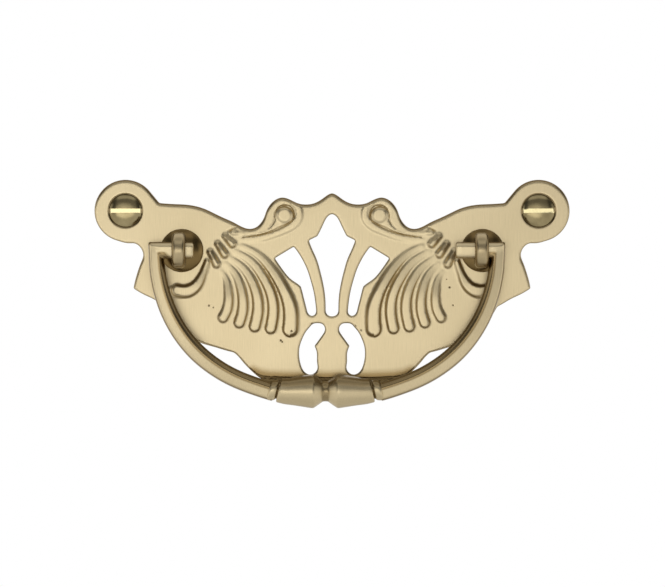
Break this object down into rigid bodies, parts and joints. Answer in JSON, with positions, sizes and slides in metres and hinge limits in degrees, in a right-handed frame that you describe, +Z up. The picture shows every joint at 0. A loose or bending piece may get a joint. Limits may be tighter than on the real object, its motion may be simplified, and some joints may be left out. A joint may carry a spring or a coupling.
{
  "type": "drop pull",
  "caption": "Brass drawer pull: a pierced backplate with fluted scroll relief carries a bail handle that swings in two eye posts and is held by slotted wood screws.",
  "frame": {"origin": "on the backplate's flat back face, midway between the two fixing screws", "axes": "+X across the pull to the right as seen from the front, +Z up, +Y out of the back face into the drawer front"},
  "size_m": [0.1012, 0.0241, 0.0485],
  "materials": {
    "satin_brass": "satin, with fine brush lines and darker recesses",
    "polished_brass": "polished"
  },
  "bodies": {
    "plate": {"backplate": "satin_brass", "eye_post_left": "satin_brass", "eye_post_right": "satin_brass", "screw_left": "polished_brass", "screw_right": "polished_brass"},
    "bail": {"drop_handle": "satin_brass"}
  },
  "joints": [
    {"name": "bail_swing", "type": "hinge", "parent": "plate", "child": "bail", "pos_m": [0, -0.0065, -0.0085], "axis": [-1, 0, 0], "range_deg": [0, 180]}
  ]
}
